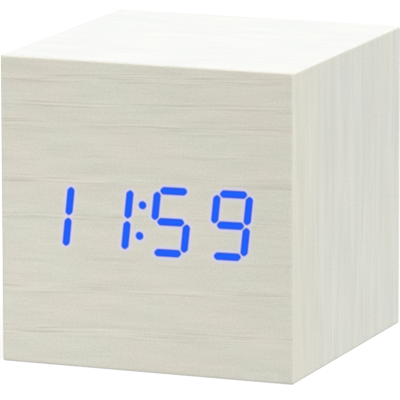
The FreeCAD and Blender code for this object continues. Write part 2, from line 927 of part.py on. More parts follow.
def grille_holes():
    holes = []
    for ring in range(grille_rings + 1):
        count = max(1, 6 * ring)
        for index in range(count):
            angle = 2 * math.pi * index / count
            x = speaker_x + ring * grille_pitch * math.cos(angle)
            z = speaker_z + ring * grille_pitch * math.sin(angle)
            holes.append(rod(grille_hole_radius, x, z, cover_inner_y - overrun, cover_outer_y + overrun))
    return holes


# Battery tray, cells, contacts
def cell_heights():
    first = tray_bottom + tray_wall + cell_clearance + cell_radius
    return [first + index * cell_pitch for index in range(cell_count)]


def cell_end(side):
    # The plus end of a cell touches its contact plate on the given side.
    return side * (inner_half - contact_thickness)


def make_cell(index):
    side = 1 if index % 2 == 0 else -1
    z = cell_heights()[index]
    tip = cell_end(side)
    shoulder = tip - side * nub_height
    foot = shoulder - side * cell_length
    x0, x1 = sorted((foot, shoulder))
    can = cross_rod(cell_radius, x0, x1, cell_y, z)
    rims = [e for e in can.Edges if e.BoundBox.XLength < cell_bevel]
    can = can.makeFillet(cell_bevel, rims)
    n0, n1 = sorted((shoulder - side * cell_bevel, tip))
    nub = cross_rod(nub_radius, n0, n1, cell_y, z)
    return can.fuse(nub).removeSplitter()


def contact_plate(side, rows):
    x_wall = side * inner_half
    x0, x1 = sorted((x_wall, x_wall - side * contact_thickness))
    heights = [cell_heights()[row] for row in rows]
    half = contact_size / 2
    return box(x0, x1, cell_y - half, cell_y + half, min(heights) - half, max(heights) + half)


def contact_tongue(side, row):
    # A strip bent out of the plate to a blunt V that presses on the minus end of the cell.
    z = cell_heights()[row]
    wall = inner_half - contact_thickness
    foot = inner_half - contact_thickness - nub_height - cell_length
    reach = wall + foot - running_clearance
    t = contact_thickness
    h = contact_size / 2
    tip = reach * tongue_tip_share
    crest = reach - t - t / 2
    points = [(-t / 2, -h), (t / 2, -h), (reach, -t), (reach, t), (tip, h), (tip - t, h), (crest, 0)]
    points.append((-t / 2, 2 * t - h))
    outline = [at(side * (wall - u), cell_y - tongue_width / 2, z + v) for u, v in points]
    return prism(outline, at(0, tongue_width, 0))


def make_contacts():
    plates = {1: [], -1: []}
    for side in (1, -1):
        groups = [(0,), (1, 2)] if side > 0 else [(0, 1), (2,)]
        for group in groups:
            plate = contact_plate(side, group)
            for row in group:
                plus_side = 1 if row % 2 == 0 else -1
                if plus_side != side:
                    plate = plate.fuse(contact_tongue(side, row))
            if len(group) == 1:
                plate = plate.fuse(contact_tail(side, group[0], 0))
            plates[side].append(plate.removeSplitter())
    return plates[1] + plates[-1]


def contact_tail(side, row, clearance):
    # The strip of a single plate that runs out through the tray's floor to its lead.
    x0, x1 = sorted((side * inner_half, side * (inner_half - contact_thickness)))
    z = cell_heights()[row]
    half = tail_width / 2 + clearance
    y0, y1 = tray_front_y - tail_reach, cell_y - contact_size / 2 + clearance
    return box(x0 - clearance, x1 + clearance, y0, y1, z - half, z + half)


def tail_places():
    return ((1, 0), (-1, cell_count - 1))


def door_opening():
    inner = inner_half - door_side_margin
    return inner, tray_bottom + tray_wall, tray_top - tray_wall


def make_tray():
    tray = box(-tray_half, tray_half, tray_front_y, cover_inner_y, tray_bottom, tray_top)
    half = inner_half
    z0, z1 = tray_bottom + tray_wall, tray_top - tray_wall
    tray = tray.cut(box(-half, half, tray_inner_y, cover_inner_y + overrun, z0, z1))
    ribs = []
    for place in (-1, 0, 1):
        x0 = place * rib_spacing - rib_thickness / 2
        ribs.append(box(x0, x0 + rib_thickness, tray_inner_y, tray_inner_y + rib_height, z0, z1))
    cells = [cross_rod(cell_radius + cell_clearance, -half, half, cell_y, z) for z in cell_heights()]
    ribs = [rib.cut(Part.makeCompound(cells)) for rib in ribs]
    return tray.multiFuse(ribs)


def hinge_axis():
    _, z0, _ = door_opening()
    return door_outer_y - lug_radius, z0 + door_clearance + lug_radius


def make_rear_cover():
    plate = rounded_plate(-cover_half, cover_half, cover_bottom, cover_top, cover_inner_y, cover_outer_y,
                          cover_corner_radius)
    hooks = []
    half = hook_width / 2
    y1 = cover_inner_y + hook_thickness
    tip = cover_bottom - hook_reach
    for x in hook_centres():
        hooks.append(box(x - half, x + half, cover_inner_y, y1, tip, cover_bottom + overrun))
    posts = [rod(post_radius, x, z, main_board_rear_y, cover_inner_y + overrun) for x, z in post_places()]
    ring_front = cover_inner_y - speaker_ring_height
    ring = rod(speaker_ring_radius, speaker_x, speaker_z, ring_front, cover_inner_y)
    bore = rod(speaker_radius + running_clearance, speaker_x, speaker_z, ring_front - overrun, cover_inner_y)
    cover = plate.multiFuse(hooks + posts + [ring.cut(bore), make_tray()])
    inner, z0, z1 = door_opening()
    inside, outside = cover_inner_y - overrun, cover_outer_y + overrun
    opening = box(-inner, inner, inside, outside, z0, z1)
    cuts = [opening, slide_slot()] + grille_holes()
    axis_y, axis_z = hinge_axis()
    pin = hinge_pin_radius + running_clearance / 2
    reach = inner + hinge_pin_reach + slot_clearance
    cuts.append(cross_rod(pin, -reach, reach, axis_y, axis_z))
    cuts += [contact_tail(side, row, running_clearance) for side, row in tail_places()]
    for x, z in screw_places():
        cuts.append(rod(screw_radius + running_clearance, x, z, inside, outside))
        seat = cover_outer_y - screw_head_height
        cuts.append(rod(screw_head_radius + running_clearance, x, z, seat, outside))
    for x, z in post_places():
        depth = main_board_front_y + board_screw_length + slot_clearance
        cuts.append(rod(board_screw_radius + running_clearance / 2, x, z, main_board_rear_y - overrun, depth))
    for index in range(len(key_names)):
        cuts.append(rod(key_radius + running_clearance, key_x(index), key_row_z, inside, outside))
    cuts.append(prism(usb_outline(slot_clearance, inside), at(0, outside - inside, 0)))
    return cover.cut(Part.makeCompound(cuts)).removeSplitter()


def make_cover_screws():
    seat = cover_outer_y - screw_head_height
    height = screw_head_height - recess_depth / 2
    return [pan_head_screw(x, z, seat, -1, screw_radius, screw_head_radius, height, screw_length)
            for x, z in screw_places()]


def make_battery_door():
    inner, z0, z1 = door_opening()
    half = inner - door_clearance
    bottom = z0 + door_clearance
    top = z1 - door_clearance
    axis_y, axis_z = hinge_axis()
    plate = rounded_plate(-half, half, axis_z, top, door_inner_y, door_outer_y, door_corner_radius)
    square_foot = box(-half, half, door_inner_y, door_outer_y, axis_z, axis_z + door_corner_radius)
    lugs = []
    pins = []
    for side in (-1, 1):
        x0, x1 = sorted((side * half, side * (half - lug_length)))
        lugs.append(cross_rod(lug_radius, x0, x1, axis_y, axis_z))
        p0, p1 = sorted((side * (half - lug_length), side * (inner + hinge_pin_reach)))
        pins.append(cross_rod(hinge_pin_radius, p0, p1, axis_y, axis_z))
    door = plate.multiFuse([square_foot] + lugs + pins)
    slits = []
    y0, y1 = door_inner_y - overrun, door_outer_y + overrun
    for side in (-1, 1):
        x = side * (latch_width + latch_slit) / 2
        slits.append(box(x - latch_slit / 2, x + latch_slit / 2, y0, y1, top - latch_length, top + overrun))
    thumb_z = top - latch_length / 2
    half_x, half_z = thumb_width / 2, thumb_height / 2
    thumb = rounded_plate(-half_x, half_x, thumb_z - half_z, thumb_z + half_z, door_outer_y - thumb_depth, y1,
                          half_z / 2)
    nose = box(-latch_width / 2, latch_width / 2, door_inner_y, door_inner_y + latch_nose_thickness,
               top - latch_nose_thickness, z1 - running_clearance)
    ribs = []
    for index in range(grip_rib_count):
        z = thumb_z + (index - (grip_rib_count - 1) / 2) * grip_rib_pitch
        floor = door_outer_y - thumb_depth
        ribs.append(box(-grip_rib_length / 2, grip_rib_length / 2, floor - grip_rib_height,
                        floor + grip_rib_height, z - grip_rib_width / 2, z + grip_rib_width / 2))
    door = door.cut(Part.makeCompound(slits + [thumb]))
    return door.multiFuse([nose] + ribs).removeSplitter()


# Leads
def even_radii(points):
    # Each bend takes the same share of its shorter run, over the tangent of half its turn.
    radii = []
    for before, corner, after in zip(points, points[1:], points[2:]):
        turn = math.pi - (before - corner).getAngle(after - corner)
        run = min((before - corner).Length, (after - corner).Length)
        radii.append(bend_share * run / math.tan(turn / 2))
    return radii


def make_battery_lead(side, row, pad_rise, name):
    # From the contact's tail, up past the tray and along to its pad on the front of the main board.
    pad_z = main_board_bottom + pad_rise
    x = side * (inner_half - contact_thickness / 2)
    z = cell_heights()[row]
    tail = tray_front_y - tail_reach
    run = tail - lead_standoff
    route = [at(x, tail, z), at(x, run, z), at(x, run, pad_z), at(power_pad_x, run, pad_z),
             at(power_pad_x, main_board_front_y, pad_z)]
    return tube(route, even_radii(route), lead_radius, name)


def make_speaker_leads():
    leads = []
    start_y = cover_inner_y - speaker_rim_thickness - terminal_thickness
    run = main_board_front_y - speaker_lead_standoff
    for side, rise in zip((-1, 1), speaker_pad_rises):
        pad_z = main_board_bottom + rise
        x = speaker_x + side * terminal_spacing / 2
        route = [at(x, start_y, terminal_z()), at(x, run, terminal_z()), at(speaker_pad_x, run, pad_z),
                 at(speaker_pad_x, main_board_front_y, pad_z)]
        leads.append(tube(route, even_radii(route), speaker_lead_radius, "speaker lead"))
    return leads


def main():
    film, front_board, boards = make_case()
    top_board, bottom_board, left_board, right_board = boards
    lit = make_lit_segments()
    wells = light_wells()
    export("front_film", film.cut(Part.makeCompound(lit)))
    export("lit_segments", *lit)
    pilot_y = board_back_y + flange_thickness - display_screw_length - slot_clearance
    pilots = [rod(display_screw_radius + running_clearance / 2, x, z, pilot_y, board_back_y + overrun)
              for x, z in ear_centres()]
    export("front_board", front_board.cut(Part.makeCompound([window_cut()] + pilots)))
    export("top_board", top_board)
    export("bottom_board", bottom_board.cut(Part.makeCompound(hook_pockets())))
    export("left_board", left_board)
    export("right_board", right_board)
    export("screw_blocks", *make_screw_blocks())
    export("segment_block", make_segment_block(wells))
    export("segment_diffusers", *make_diffusers(wells))
    export("segment_leds", *make_leds())
    export("display_board", make_display_board())
    export("display_screws", *make_display_screws())
    export("driver_chip", make_chip(display_offset + driver_offset, display_height, display_board_back_y, 1,
                                    driver_width, driver_height, driver_thickness, driver_lead_count))
    export("display_header", header_shroud(header_x, display_header_z(), display_board_back_y, 1))
    export("ribbon_cable", make_ribbon())
    export("main_header", header_shroud(header_x, main_header_z, main_board_front_y, -1))
    export("main_board", make_main_board())
    export("board_screws", *make_board_screws())
    export("clock_chip", make_chip(clock_chip_x, clock_chip_z, main_board_front_y, -1, clock_chip_width,
                                   clock_chip_height, clock_chip_thickness, chip_lead_count))
    export("voice_chip", make_chip(voice_chip_x, voice_chip_z, main_board_front_y, -1, voice_chip_width,
                                   voice_chip_height, clock_chip_thickness, chip_lead_count))
    export("clock_crystal", make_crystal())
    export("buffer_capacitor", make_capacitor())
    export("tact_switches", *make_tact_switches())
    for index, name in enumerate(key_names):
        export(name + "_key", make_key(index))
        export(name + "_plunger", make_plunger(index))
    export("switch_body", make_slide_body())
    export("switch_knob", make_switch_knob())
    export("usb_shell", make_usb_shell())
    export("usb_tongue", make_usb_tongue())
    frame, cone, magnet = make_speaker()
    export("speaker_frame", frame)
    export("speaker_cone", cone)
    export("speaker_magnet", magnet)
    export("speaker_leads", *make_speaker_leads())
    export("battery_lead_red", make_battery_lead(1, 0, plus_pad_rise, "red lead"))
    export("battery_lead_black", make_battery_lead(-1, cell_count - 1, minus_pad_rise, "black lead"))
    for index in range(cell_count):
        export("battery_" + str(index + 1), make_cell(index))
    export("battery_contacts", *make_contacts())
    export("rear_cover", make_rear_cover())
    export("cover_screws", *make_cover_screws())
    export("battery_door", make_battery_door())


main()
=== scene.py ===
import math
import bpy
import bmesh
from mathutils import Matrix, Vector, geometry


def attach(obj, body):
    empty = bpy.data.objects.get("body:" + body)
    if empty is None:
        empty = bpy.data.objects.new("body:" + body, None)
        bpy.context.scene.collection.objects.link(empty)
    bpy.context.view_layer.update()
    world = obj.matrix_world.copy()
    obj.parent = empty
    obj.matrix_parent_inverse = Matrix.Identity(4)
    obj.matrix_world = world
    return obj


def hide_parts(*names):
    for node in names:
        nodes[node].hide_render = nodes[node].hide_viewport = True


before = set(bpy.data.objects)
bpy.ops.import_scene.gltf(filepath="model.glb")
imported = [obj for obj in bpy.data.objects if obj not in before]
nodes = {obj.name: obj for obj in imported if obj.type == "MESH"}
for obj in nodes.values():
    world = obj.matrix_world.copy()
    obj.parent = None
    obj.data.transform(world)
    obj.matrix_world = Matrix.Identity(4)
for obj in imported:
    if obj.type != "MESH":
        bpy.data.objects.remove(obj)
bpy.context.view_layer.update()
mm = 0.001
cubeSide = 60  # mm
halfSide = cubeSide / 2
print("frame loaded:", len(nodes), "nodes")


def fromHex(code):  # an sRGB hex colour, turned linear for the shaders
    parts = [int(code[i:i + 2], 16) / 255 for i in (1, 3, 5)]
    return [p / 12.92 if p <= 0.04045 else ((p + 0.055) / 1.055) ** 2.4 for p in parts] + [1.0]


def addNode(tree, kind, inputs=None, stops=(), **settings):  # with its settings and what feeds it
    node = tree.nodes.new("ShaderNode" + kind)
    for name, value in settings.items():
        setattr(node, name, value)
    for socket, value in (inputs or {}).items():
        if isinstance(value, bpy.types.Node):  # a node stands for its first output in use
            value = next(output for output in value.outputs if output.enabled)
        if isinstance(value, bpy.types.NodeSocket):
            tree.links.new(value, node.inputs[socket])
        else:
            node.inputs[socket].default_value = fromHex(value) if isinstance(value, str) else value
    for index, (place, level) in enumerate(stops):
        ramp = node.color_ramp.elements
        stop = ramp[index] if index < 2 else ramp.new(place)  # a new ramp has two stops
        stop.position = place
        stop.color = fromHex(level) if isinstance(level, str) else (level, level, level, 1)
    return node


def emptyTree(owner):  # the node tree of a material or the world, cleared
    owner.use_nodes = True
    owner.node_tree.nodes.clear()
    return owner.node_tree


def startMaterial(name):  # also returns the object's own coordinates, to draw patterns by
    material = bpy.data.materials.new(name)
    tree = emptyTree(material)
    return material, tree, addNode(tree, "TexCoord").outputs["Object"]


# An uneven pattern of a real size. Grit and scratches that are finer than about 0.1 mm on the real
# thing are given at about 0.1 mm, so that they show.
def mottle(tree, place, size, detail=3.0, unit=mm, **more):
    sizes = size if isinstance(size, tuple) else [size] * 3  # mm on each axis, or the same on all
    scaled = addNode(tree, "Mapping", {"Vector": place, "Scale": [1 / (s * unit) for s in sizes]})
    return addNode(tree, "TexNoise", {"Vector": scaled, "Scale": 1.0, "Detail": detail, **more})


def endMaterial(tree, shader):
    addNode(tree, "OutputMaterial", {"Surface": shader})


# The pattern varies the gloss, and the relief too where no height is given.
def finishSurface(tree, look, colour, pattern, height=None, more=None):
    sockets = {"Base Color": colour, "Roughness": look["roughness"], **(more or {})}
    if isinstance(look["roughness"], tuple):  # least and most, as the pattern runs its span
        start, end = look.get("span", (0, 1))
        sockets["Roughness"] = addNode(tree, "MapRange", {
            "Value": pattern, "From Min": start, "From Max": end,
            "To Min": look["roughness"][0], "To Max": look["roughness"][1]})
    if "bump" in look:
        sockets["Normal"] = addNode(tree, "Bump", {
            "Height": height or pattern, "Strength": look["bump"], "Distance": look["depth"] * mm})
    endMaterial(tree, addNode(tree, "BsdfPrincipled", sockets))


def dress(material, *names):  # a CAD node keeps its mesh and gets a better finish
    for name in names:
        slots = nodes[name].data.materials
        slots.clear()
        slots.append(material)


def placeInScene(name, data):
    thing = bpy.data.objects.new(name, data)
    bpy.context.scene.collection.objects.link(thing)
    return thing


# Wood-grain film: matt PVC foil, printed and wrapped round the boards. The eye sees a pale cream
# sheet with bundles of thin broken lines, paler lines between them, and fine fibres and specks.
filmLook = {
    "line": "#A8968A",
    "pale": "#F0EDE2",
    "roughness": 0.55,
    "gloss": 0.12,  # matt lacquer, far below a plain plastic's sheen
    # each pattern: mm along the grain, across it and through the film, and the noise's detail
    "lines": ((17.0, 0.4, 1), 1.5),
    "breaks": ((8.0, 1.4, 1), 1.0),
    "fibres": ((4.0, 0.34, 1), 2.0),
    "specks": ((0.5, 0.42, 1), 1.0),  # the real print's dots are 0.1 mm, too fine to show
    "tones": ((15.0, 8.0, 1), 2.0),
    "drift": ((38, 14, 1), 2.0),
    "wave": 1.1,  # mm that a line strays from straight
    "lineFrom": (0.5, 0.64),  # the noise's values where a line starts and is at its darkest
    "paleFrom": (0.5, 0.36),
    "lineStrength": 0.36,
    "paleStrength": 0.36,
    "breakFrom": (0.34, 0.6),
    "breakStrength": 0.42,  # what is left of a line where it breaks
    "betweenBundles": 0.1,  # the strength of lines outside the bundles
    "toneFrom": (0.35, 0.65),
    "relief": 0.006,  # mm
    "bump": 0.5,
    "skin": 0.38,  # mm of each board, from the outside, that shows as film
}
frontGrain = {
    "warm": "#DFDACD", "cool": "#DBDBCE", "slope": 0.034,
    "fibre": 0.07, "speck": 0.2, "streak": 0.15, "streaks": ((15.0, 2.0, 1), 2.0),
    # each bundle of lines: mm up the front, half width in mm, strength
    "bundles": ((7.4, 1.7, 0.95), (15.7, 1.4, 1.0), (21.6, 0.9, 0.55), (29.7, 1.2, 0.75),
                (37.1, 1.5, 0.8), (42.1, 1.0, 0.5), (47.7, 1.8, 0.85), (51.7, 1.3, 0.85),
                (57.0, 1.5, 1.0)),
}
topGrainPaintedWashout = {  # the same print, painted greyer and with its lines half as strong: painted light, standing in for the top washed out by its stronger light
    **frontGrain, "warm": "#D9D9D6", "cool": "#D6D8D6",
    "fibre": 0.06, "speck": 0.12, "streak": 0.08,
    "bundles": [(middle, half, strength / 2) for middle, half, strength in frontGrain["bundles"]],
}
sideGrain = {
    "warm": "#DFDDCF", "cool": "#DBDCD4", "slope": 0.0,
    "fibre": 0.03, "speck": 0.2, "streak": 0.25, "streaks": ((30.0, 2.8, 1), 2.0),
    "cooling": (3.5, 18.0, 0.65),  # mm behind the front edge where the tone cools, and how far
    "paintedEdgeHighlight": (0.3, 2.0, 0.18),  # mm behind it where the film is painted paler as a painted highlight of the rounded edge, and by how much
    "bundles": ((5.0, 1.4, 0.4), (13.2, 1.0, 0.65), (20.8, 1.3, 0.75), (28.2, 1.0, 0.65),
                (38.2, 1.0, 0.75), (43.2, 0.9, 0.5), (51.5, 1.1, 0.65), (56.2, 0.9, 0.5)),
}


def bundleMask(tree, level, grain):  # where the bundles lie across the grain
    look = filmLook
    share = addNode(tree, "Math", {0: level, 1: 1 / cubeSide}, operation="MULTIPLY")
    share = addNode(tree, "Math", {0: share}, operation="FRACT")
    low = look["betweenBundles"]
    stops = [(0.0, low), (1.0, low)]
    for middle, half, strength in grain["bundles"]:
        stops += [((middle + step * half) / cubeSide, height)
                  for step, height in ((-1, low), (0, strength), (1, low))]
    return addNode(tree, "ValToRGB", {"Fac": share}, stops)


def filmGrain(tree, place, upright, grain):  # returns the film's colour and its relief
    look = filmLook
    axes = addNode(tree, "SeparateXYZ", {"Vector": place}).outputs
    along, across = axes["Z" if upright else "X"], axes["Y"]
    if not upright:  # front and top run on round their shared edge
        across = addNode(tree, "Math", {0: across, 1: axes["Z"]})
    flat = addNode(tree, "CombineXYZ", {"X": along, "Y": across})
    flat = addNode(tree, "Mapping", {"Vector": flat, "Location": (0, halfSide, 0),
                                     "Scale": [1 / mm] * 3})
    parts = addNode(tree, "SeparateXYZ", {"Vector": flat}).outputs
    drift = mottle(tree, flat, *look["drift"], unit=1)
    level = addNode(tree, "Math", {0: drift, 1: 2 * look["wave"], 2: parts["Y"]},
                    operation="MULTIPLY_ADD")
    level = addNode(tree, "Math", {0: parts["X"], 1: -grain["slope"], 2: level},
                    operation="MULTIPLY_ADD")
    level = addNode(tree, "Math", {0: level, 1: look["wave"]}, operation="SUBTRACT")
    run = addNode(tree, "CombineXYZ", {"X": parts["X"], "Y": level})

    breaks = addNode(tree, "MapRange", {
        "Value": mottle(tree, run, *look["breaks"], unit=1), "From Min": look["breakFrom"][0],
        "From Max": look["breakFrom"][1], "To Min": look["breakStrength"]})
    inked = addNode(tree, "Math", {0: bundleMask(tree, level, grain), 1: breaks},
                    operation="MULTIPLY")
    lines = mottle(tree, run, *look["lines"], unit=1)
    fibres = mottle(tree, run, *look["fibres"], unit=1)
    depth = 1 - (grain["fibre"] + grain["speck"] + grain["streak"]) / 2
    for noise, strength in ((fibres, grain["fibre"]),
                            (mottle(tree, run, *look["specks"], unit=1), grain["speck"]),
                            (mottle(tree, run, *grain["streaks"], unit=1), grain["streak"])):
        depth = addNode(tree, "Math", {0: noise, 1: strength, 2: depth}, operation="MULTIPLY_ADD")
    tone = addNode(tree, "MapRange", {
        "Value": mottle(tree, run, *look["tones"], unit=1), "From Min": look["toneFrom"][0],
        "From Max": look["toneFrom"][1]})
    if "cooling" in grain:
        start, end, part = grain["cooling"]
        cooler = addNode(tree, "MapRange", {
            "Value": parts["Y"], "From Min": start, "From Max": end})
        tone = addNode(tree, "Mix", {0: part, 2: tone, 3: cooler})
    sheet = addNode(tree, "Mix", {0: tone, 6: grain["warm"], 7: grain["cool"]}, data_type="RGBA")
    sheet = addNode(tree, "HueSaturation", {"Value": depth, "Color": sheet})

    relief = fibres
    for span, strength, ink in ((look["paleFrom"], look["paleStrength"], look["pale"]),
                                (look["lineFrom"], look["lineStrength"], look["line"])):
        share = addNode(tree, "MapRange", {
            "Value": lines, "From Min": span[0], "From Max": span[1], "To Max": strength})
        share = addNode(tree, "Math", {0: share, 1: inked}, operation="MULTIPLY")
        sheet = addNode(tree, "Mix", {0: share, 6: sheet, 7: ink}, data_type="RGBA")
        relief = addNode(tree, "Math", {0: relief, 1: share})
    # painted highlight: the side's film is painted paler just behind the front edge, standing in
    # for the light that the rounded edge catches
    if "paintedEdgeHighlight" in grain:
        start, end, part = grain["paintedEdgeHighlight"]
        edgeHighlight = addNode(tree, "MapRange", {
            "Value": parts["Y"], "From Min": start, "From Max": end, "To Min": part, "To Max": 0.0})
        sheet = addNode(tree, "Mix", {0: edgeHighlight, 6: sheet, 7: look["pale"]}, data_type="RGBA")
    return sheet, relief


def finishFilm(tree, colour, roughness, height, more=None):
    bump = addNode(tree, "Bump", {"Height": height, "Strength": filmLook["bump"],
                                  "Distance": filmLook["relief"] * mm}, invert=True)
    endMaterial(tree, addNode(tree, "BsdfPrincipled", {
        "Base Color": colour, "Roughness": roughness, "Normal": bump,
        "Specular IOR Level": filmLook["gloss"], **(more or {})}))


# Raw fibreboard: pressed and sawn wood fibre. The eye sees a warm brown felt of short fibres.
fibreLook = {"base": "#B9925F", "dark": "#8E6A40", "light": "#D3B183", "fibre": 0.5, "twist": 1.2,
             "spread": (0.3, 0.5, 0.7), "roughness": 0.85, "bump": 0.6, "depth": 0.05}


def fibreboardColour(tree, place):
    look = fibreLook
    felt = mottle(tree, place, look["fibre"], detail=5.0, Distortion=look["twist"])
    low, middle, high = look["spread"]
    colour = addNode(tree, "ValToRGB", {"Fac": felt}, [
        (low, look["dark"]), (high, look["light"]), (middle, look["base"])])
    return colour, felt


def filmedBoard(name, upright, grain):  # film outside and on the rear rim, raw board inside
    material, tree, place = startMaterial(name)
    film, relief = filmGrain(tree, place, upright, grain)
    raw, felt = fibreboardColour(tree, place)
    centred = addNode(tree, "Mapping", {"Vector": place, "Location": (0, 0, -halfSide),
                                        "Scale": [1 / mm] * 3})
    reach = addNode(tree, "VectorMath", {0: centred}, operation="ABSOLUTE")
    axes = addNode(tree, "SeparateXYZ", {"Vector": reach}).outputs
    widest = addNode(tree, "Math", {0: axes["X"], 1: axes["Y"]}, operation="MAXIMUM")
    widest = addNode(tree, "Math", {0: widest, 1: axes["Z"]}, operation="MAXIMUM")
    outside = addNode(tree, "Math", {0: widest, 1: halfSide - filmLook["skin"]},
                      operation="GREATER_THAN")
    colour = addNode(tree, "Mix", {0: outside, 6: raw, 7: film}, data_type="RGBA")
    rough = addNode(tree, "MapRange", {"Value": outside, "To Min": fibreLook["roughness"],
                                       "To Max": filmLook["roughness"]})
    finishFilm(tree, colour, rough, addNode(tree, "Mix", {0: outside, 2: felt, 3: relief}))
    return material


def sawnFibreboard(name):
    material, tree, place = startMaterial(name)
    colour, felt = fibreboardColour(tree, place)
    finishSurface(tree, fibreLook, colour, felt)
    return material


# the top and bottom boards carry the painted wash-out of the top's strong light
dress(filmedBoard("filmOnBoardLevel", False, topGrainPaintedWashout), "top_board", "bottom_board")
dress(filmedBoard("filmOnBoardUpright", True, sideGrain), "left_board", "right_board")
dress(sawnFibreboard("sawnFibreboard"), "front_board", "screw_blocks")
print("boards dressed")

# The front film with the lit figures, as one sheet. The light of the bars spreads a little in it.
figures = {  # mm, and degrees for slant and climb
    "offset": -0.99, "height": 29.64, "pitch": 12.183, "halfWidth": 3.3, "barSpacing": 6.04,
    "barLength": 5.8, "barWidth": 1.4, "rounding": 0.48, "slant": 6.1, "climb": 0.95,
    "dotRadius": 0.75, "dotSpacing": 6.0, "dotCore": 0.2, "dotCorners": 8, "roundSteps": 4,
    "shown": ("bc", "bc", "acdfg", "abcdfg"),
    "blue": "#0B5AF8",
    "unlit": "#04102E",
    "halo": "#DDDCF6",
    "edge": (-0.25, 0.25),  # mm from a bar's outline, where the lit patch fades out
    "rim": (-0.5, -0.12),  # and where its light dims towards the edge
    "rimLight": 0.78,
    "haloReach": (0.1, 0.95),
    "levels": (-0.5, -0.24, -0.1, 0.04, 0.18, 0.34, 0.6, 0.95),  # where the sheet has vertices
    "far": 1.0,  # distances are kept up to this
}
filmSheet = {"thickness": 0.4, "edgeRadius": 0.5, "edgeSteps": 5, "margin": 0.4, "cornerSteps": 4,
             "innerCorner": 0.1, "backCorner": 0.05, "tolerance": 1e-5}  # mm


def slanted(u, v):
    lean = (v - figures["height"]) * math.tan(math.radians(figures["slant"]))
    climb = (u - figures["offset"]) * math.tan(math.radians(figures["climb"]))
    return Vector((u + lean, v + climb))


def barCorners(u, v, upright):
    half, side = figures["barLength"] / 2, figures["barWidth"] / 2
    points = [(-half, 0), (side - half, -side), (half - side, -side), (half, 0),
              (half - side, side), (side - half, side)]
    if upright:
        points = [(b, a) for a, b in reversed(points)]
    return [slanted(u + a, v + b) for a, b in points]


def cornerEdges(corners, index):  # the directions of the edges before and after a corner
    before = (corners[index] - corners[index - 1]).normalized()
    after = (corners[(index + 1) % len(corners)] - corners[index]).normalized()
    return before, after


def inset(corners, depth):  # a convex outline, counterclockwise, drawn in by a depth
    moved = []
    for index, corner in enumerate(corners):
        before, after = cornerEdges(corners, index)
        inBefore, inAfter = Vector((-before.y, before.x)), Vector((-after.y, after.x))
        bisector = (inBefore + inAfter).normalized()
        moved.append(corner + bisector * depth / bisector.dot(inAfter))
    return moved


def roundLoop(corners, reach, steps):  # the outline at a distance outside a convex one
    loop = []
    for index, corner in enumerate(corners):
        before, after = cornerEdges(corners, index)
        start = math.atan2(-before.x, before.y)
        turn = (math.atan2(-after.x, after.y) - start) % (2 * math.pi)
        for step in range(steps + 1):
            angle = start + turn * step / steps
            loop.append(corner + Vector((math.cos(angle), math.sin(angle))) * reach)
    return loop


def distanceTo(corners, point):  # below zero inside
    nearest, inside = math.inf, True
    for index, corner in enumerate(corners):
        edge = corners[(index + 1) % len(corners)] - corner
        reach = point - corner
        share = min(1, max(0, reach.dot(edge) / edge.dot(edge)))
        nearest = min(nearest, (reach - edge * share).length)
        inside = inside and edge.x * reach.y - edge.y * reach.x >= 0
    return -nearest if inside else nearest


def litShapes():  # each lit bar or dot: a convex core, the round on it, and its outline unrounded
    shapes = []
    rise, width = figures["barSpacing"] / 2, figures["halfWidth"]
    places = {"a": (0, 2 * rise, False), "g": (0, 0, False), "d": (0, -2 * rise, False),
              "b": (width, rise, True), "f": (-width, rise, True),
              "c": (width, -rise, True), "e": (-width, -rise, True)}
    for place, letters in zip((-1.5, -0.5, 0.5, 1.5), figures["shown"]):
        for letter in letters:
            du, dv, upright = places[letter]
            corners = barCorners(figures["offset"] + place * figures["pitch"] + du,
                                 figures["height"] + dv, upright)
            core = inset(corners, figures["rounding"])
            shapes.append((core, figures["rounding"], corners))
    for side in (-1, 1):
        middle = slanted(figures["offset"], figures["height"] + side * figures["dotSpacing"] / 2)
        turns = [2 * math.pi * k / figures["dotCorners"] for k in range(figures["dotCorners"])]
        ring = [middle + Vector((math.cos(a), math.sin(a))) * figures["dotCore"] for a in turns]
        shapes.append((ring, figures["dotRadius"] - figures["dotCore"], ring))
    return shapes


def squareLoop(half, radius):  # a square with rounded corners, round the middle of the front
    corners = [Vector((x * (half - radius), halfSide + z * (half - radius)))
               for x, z in ((1, -1), (1, 1), (-1, 1), (-1, -1))]
    return roundLoop(corners, radius, filmSheet["cornerSteps"])


def sheetPoint(point, depth=0.0):
    return Vector((point.x * mm, (depth - halfSide) * mm, point.y * mm))


def edgeSteps(flat):  # how the sheet turns over its edge: half width, depth, corner radius
    radius, count = filmSheet["edgeRadius"], filmSheet["edgeSteps"]
    steps = [(flat, 0.0, filmSheet["innerCorner"])]
    for step in range(1, count + 1):
        angle = math.radians(45 * step / count)  # up to the mitre
        steps.append((flat + radius * math.sin(angle), radius * (1 - math.cos(angle)),
                      max(filmSheet["innerCorner"], radius * math.sin(angle))))
    thickness = filmSheet["thickness"]
    return steps + [(halfSide - thickness, thickness, filmSheet["backCorner"])]


